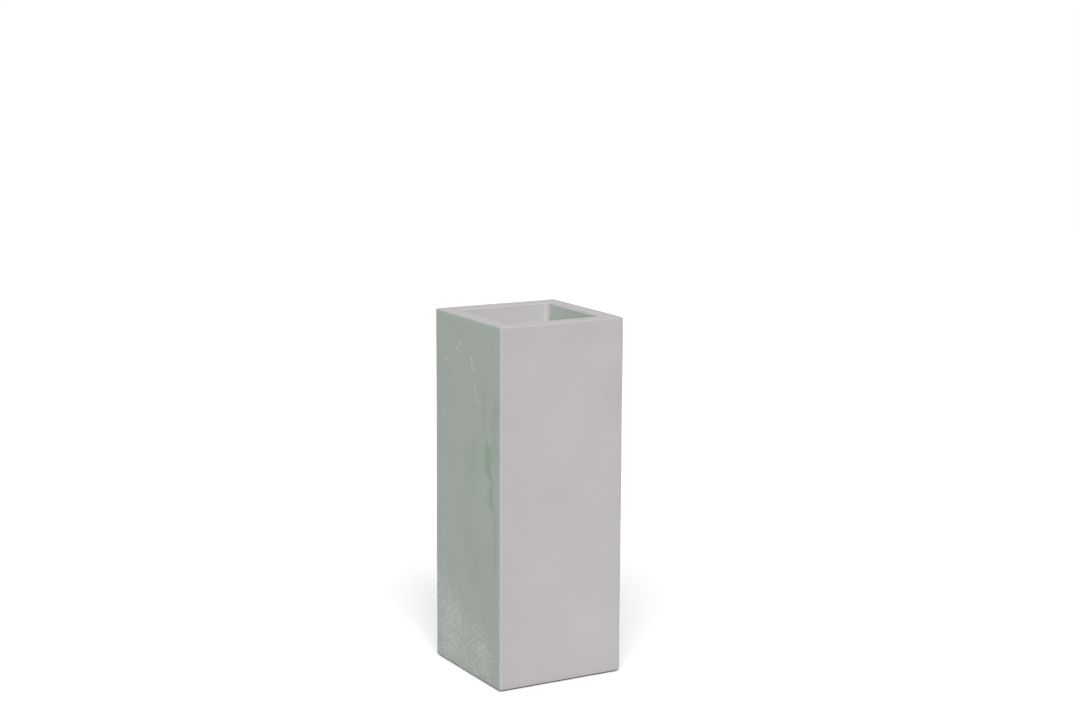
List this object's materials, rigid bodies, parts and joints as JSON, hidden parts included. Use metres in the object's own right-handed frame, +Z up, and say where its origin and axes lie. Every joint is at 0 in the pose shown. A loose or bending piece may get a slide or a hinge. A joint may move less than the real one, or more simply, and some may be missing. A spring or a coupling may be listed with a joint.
{
  "type": "tall square planter",
  "caption": "Tall square double-skinned fiberglass planter with a flat rolled rim, a planting pocket, a lift-out shelf and a drained floor on rubber feet.",
  "frame": {"origin": "centre of the square footprint, on the ground that the rubber feet stand on", "axes": "+Z up the column, -Y out of the front face, +X to the right seen from the front"},
  "size_m": [0.304, 0.304, 0.8],
  "materials": {
    "painted_grp": "matte",
    "raw_grp": "satin",
    "bonding_paste": "matte",
    "plywood": "matte",
    "foot_rubber": "matte",
    "plug_rubber": "matte",
    "stainless_steel": "satin"
  },
  "bodies": {
    "planter": {"outer_shell": "painted_grp", "inner_pocket": "painted_grp", "base_panel": "raw_grp", "base_bond_fillet": "bonding_paste", "foot_washers": "stainless_steel", "foot_screws": "stainless_steel", "pocket_spacer_right": "plywood", "pocket_spacer_back": "plywood", "pocket_spacer_left": "plywood", "pocket_spacer_front": "plywood", "corner_block_back_right": "plywood", "corner_block_back_left": "plywood", "corner_block_front_left": "plywood", "corner_block_front_right": "plywood", "rubber_foot_back_right": "foot_rubber", "rubber_foot_back_left": "foot_rubber", "rubber_foot_front_left": "foot_rubber", "rubber_foot_front_right": "foot_rubber"},
    "shelf": {"insert_shelf": "raw_grp"},
    "drain_plug": {"drain_plug": "plug_rubber"}
  },
  "joints": [
    {"name": "shelf_lift", "type": "slide", "parent": "planter", "child": "shelf", "axis": [0, 0, 1], "range_m": [0, 0.36]},
    {"name": "drain_plug_pull", "type": "slide", "parent": "planter", "child": "drain_plug", "axis": [0, 0, 1], "range_m": [0, 0.04]}
  ]
}
